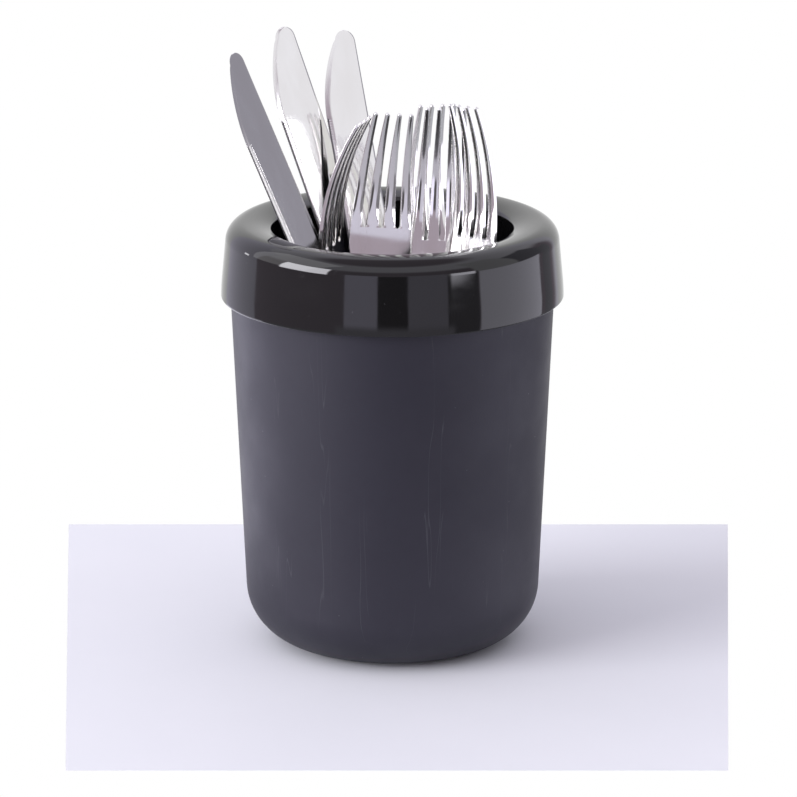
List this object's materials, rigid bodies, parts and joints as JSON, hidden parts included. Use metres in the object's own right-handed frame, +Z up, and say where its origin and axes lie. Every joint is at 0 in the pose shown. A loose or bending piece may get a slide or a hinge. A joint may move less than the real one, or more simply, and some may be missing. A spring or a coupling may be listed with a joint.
{
  "type": "cutlery dispenser",
  "caption": "Round tapered pot with a rolled ring lid that holds table knives and forks standing upright, each drawn out through the open mouth.",
  "frame": {"origin": "centre of the pot's foot, on the surface that it stands on", "axes": "+Z up along the pot's axis, -Y towards the viewer of the picture, +X to the viewer's right"},
  "size_m": [0.133, 0.133, 0.235],
  "materials": {
    "pot": "fine matte moulding",
    "lid": "high gloss moulding",
    "cutlery": "mirror-polished stainless steel"
  },
  "bodies": {
    "pot": {"pot": "pot"},
    "ring_lid": {"ring_lid": "lid"},
    "knife_left": {"knife_left": "cutlery"},
    "knife_middle": {"knife_middle": "cutlery"},
    "knife_right": {"knife_right": "cutlery"},
    "fork_front": {"fork_front": "cutlery"},
    "fork_side": {"fork_side": "cutlery"},
    "fork_nested_front": {"fork_nested_front": "cutlery"},
    "fork_nested_back": {"fork_nested_back": "cutlery"},
    "fork_outer": {"fork_outer": "cutlery"}
  },
  "joints": [
    {"name": "lid_lift", "type": "slide", "parent": "pot", "child": "ring_lid", "axis": [0, 0, 1], "range_m": [0, 0.06]},
    {"name": "knife_left_draw", "type": "slide", "parent": "ring_lid", "child": "knife_left", "axis": [-0.3762, 0.0097, 0.9265], "range_m": [0, 0.19]},
    {"name": "knife_middle_draw", "type": "slide", "parent": "ring_lid", "child": "knife_middle", "axis": [-0.3238, 0.0297, 0.9457], "range_m": [0, 0.19]},
    {"name": "knife_right_draw", "type": "slide", "parent": "ring_lid", "child": "knife_right", "axis": [-0.1625, 0.2967, 0.941], "range_m": [0, 0.19]},
    {"name": "fork_front_draw", "type": "slide", "parent": "ring_lid", "child": "fork_front", "axis": [0.0797, 0.1094, 0.9908], "range_m": [0, 0.18]},
    {"name": "fork_side_draw", "type": "slide", "parent": "ring_lid", "child": "fork_side", "axis": [0, -0.0349, 0.9994], "range_m": [0, 0.18]},
    {"name": "fork_nested_front_draw", "type": "slide", "parent": "ring_lid", "child": "fork_nested_front", "axis": [0.0222, 0.2044, 0.9786], "range_m": [0, 0.18]},
    {"name": "fork_nested_back_draw", "type": "slide", "parent": "ring_lid", "child": "fork_nested_back", "axis": [-0.0507, 0.245, 0.9682], "range_m": [0, 0.18]},
    {"name": "fork_outer_draw", "type": "slide", "parent": "ring_lid", "child": "fork_outer", "axis": [0.0689, 0.1595, 0.9848], "range_m": [0, 0.18]}
  ]
}
